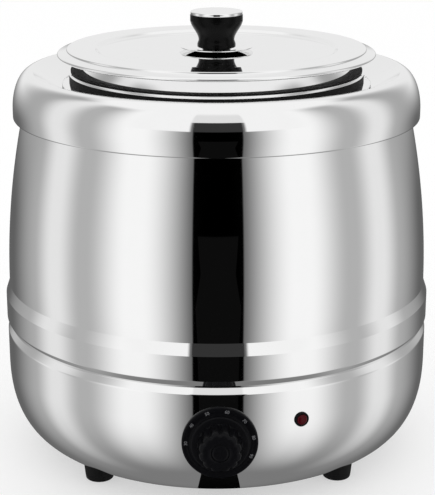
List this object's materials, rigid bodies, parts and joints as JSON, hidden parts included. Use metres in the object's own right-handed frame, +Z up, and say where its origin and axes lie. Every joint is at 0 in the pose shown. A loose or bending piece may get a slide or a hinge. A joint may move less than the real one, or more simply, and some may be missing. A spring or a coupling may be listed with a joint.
{
  "type": "soup kettle",
  "caption": "Electric wet-heat soup kettle in polished steel: bowl base with dial and lamp, bellied barrel, wide collar, lift-out pot and lift-off lid with a black knob.",
  "frame": {"origin": "on the floor, under the kettle's vertical axis", "axes": "+Z up, the dial and lamp face -Y, the cord leaves towards +Y, +X to the right seen from the front"},
  "size_m": [0.3455, 0.3848, 0.3561],
  "materials": {
    "polished_steel": "mirror-polished stainless steel",
    "satin_steel": "satin stainless steel",
    "zinc_steel": "zinc-plated steel",
    "rubber": "matt black rubber",
    "aluminium": "rolled aluminium",
    "heater_sheath": "dark oxidised heater sheath",
    "brass": "turned brass",
    "copper": "drawn copper",
    "ceramic": "unglazed cream steatite",
    "black_plastic": "black moulded plastic",
    "black_phenolic": "polished black phenolic",
    "lamp_red": "dark red translucent lens",
    "wire_insulation": "silicone wire insulation"
  },
  "bodies": {
    "kettle": {"base_shell": "polished_steel", "base_plate": "satin_steel", "base_plate_screws": "zinc_steel", "foot_front_left": "rubber", "foot_front_right": "rubber", "foot_rear_left": "rubber", "foot_rear_right": "rubber", "foot_screws": "zinc_steel", "foot_nuts": "zinc_steel", "barrel_shell": "polished_steel", "collar": "polished_steel", "water_well": "satin_steel", "diffuser_plate": "aluminium", "heating_element": "heater_sheath", "element_clamp": "satin_steel", "clamp_studs": "brass", "clamp_nuts": "brass", "thermal_cutout": "ceramic", "cutout_screws": "zinc_steel", "control_bracket": "satin_steel", "thermostat": "ceramic", "thermostat_screws": "zinc_steel", "thermostat_bulb": "copper", "bulb_clip": "satin_steel", "capillary_tube": "copper", "dial_bezel": "black_plastic", "lamp_body": "black_plastic", "lamp_lens": "lamp_red", "lamp_nut": "black_plastic", "terminal_block": "ceramic", "terminal_screws": "zinc_steel", "earth_stud": "brass", "earth_nut": "brass", "cord_gland": "black_plastic", "gland_nut": "black_plastic", "tie_rods": "zinc_steel", "tie_nuts": "zinc_steel", "mains_wires": "wire_insulation", "inner_wires": "wire_insulation"},
    "pot": {"soup_pot": "polished_steel", "pot_seal": "rubber"},
    "lid": {"lid_shell": "polished_steel", "lid_skirt": "polished_steel", "lid_seal": "rubber", "lid_knob": "black_phenolic", "lid_knob_cap": "polished_steel", "heat_shield": "polished_steel", "lid_screw": "zinc_steel", "lid_washer": "zinc_steel"},
    "dial": {"control_knob": "black_phenolic", "knob_cap": "black_plastic", "thermostat_shaft": "zinc_steel"}
  },
  "joints": [
    {"name": "pot_lift", "type": "slide", "parent": "kettle", "child": "pot", "axis": [0, 0, 1], "range_m": [0, 0.26]},
    {"name": "lid_lift", "type": "slide", "parent": "pot", "child": "lid", "axis": [0, 0, 1], "range_m": [0, 0.15]},
    {"name": "thermostat_turn", "type": "hinge", "parent": "kettle", "child": "dial", "pos_m": [0, -0.18, 0.0643], "axis": [0, 1, 0], "range_deg": [0, 270]}
  ]
}
